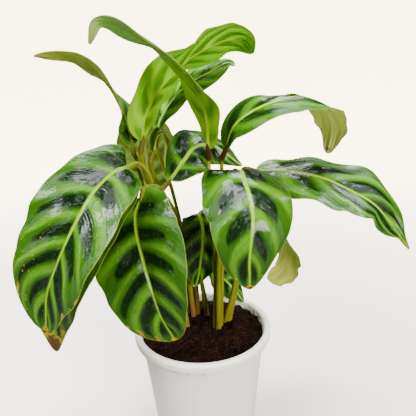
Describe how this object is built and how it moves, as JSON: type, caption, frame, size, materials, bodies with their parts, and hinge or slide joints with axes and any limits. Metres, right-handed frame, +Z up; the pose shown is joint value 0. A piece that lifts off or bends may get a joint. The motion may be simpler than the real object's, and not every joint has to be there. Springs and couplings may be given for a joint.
{
  "type": "potted calathea",
  "caption": "Potted calathea with zebra-striped leaves on thin petioles, rising in clumps from dark soil in a plain white nursery pot.",
  "frame": {"origin": "middle of the pot's flat foot, on the surface that it stands on", "axes": "+Z up; -Y is the plant's front, the side the picture was taken from; +X to the right seen from the front"},
  "size_m": [0.3272, 0.1721, 0.3789],
  "materials": {
    "pot_plastic": "satin moulded polypropylene, warm white rim over a slightly cooler white body",
    "soil": "damp coir compost, dark brown with short orange-brown fibres",
    "petiole": "smooth waxy stem, yellow-green with a brown swelling under each leaf",
    "leaf": "glossy, wet-looking upper side with dark bands between light green veins; pale matt underside"
  },
  "bodies": {
    "root": {"pot": "pot_plastic", "soil": "soil", "shoot_left_front": "petiole", "shoot_front": "petiole", "shoot_right": "petiole", "shoot_left_back": "petiole", "shoot_middle": "petiole", "shoot_low": "petiole", "blade_front_left": "leaf", "blade_under_left": "leaf", "blade_front_middle": "leaf", "blade_front_right": "leaf", "blade_right": "leaf", "blade_upper_right": "leaf", "blade_tall": "leaf", "blade_upper_left": "leaf", "blade_top": "leaf", "blade_behind_top": "leaf", "blade_small_dark": "leaf", "blade_hanging": "leaf", "blade_lower_right": "leaf", "blade_back": "leaf", "blade_small_upright": "leaf", "blade_low_back": "leaf"}
  },
  "joints": []
}
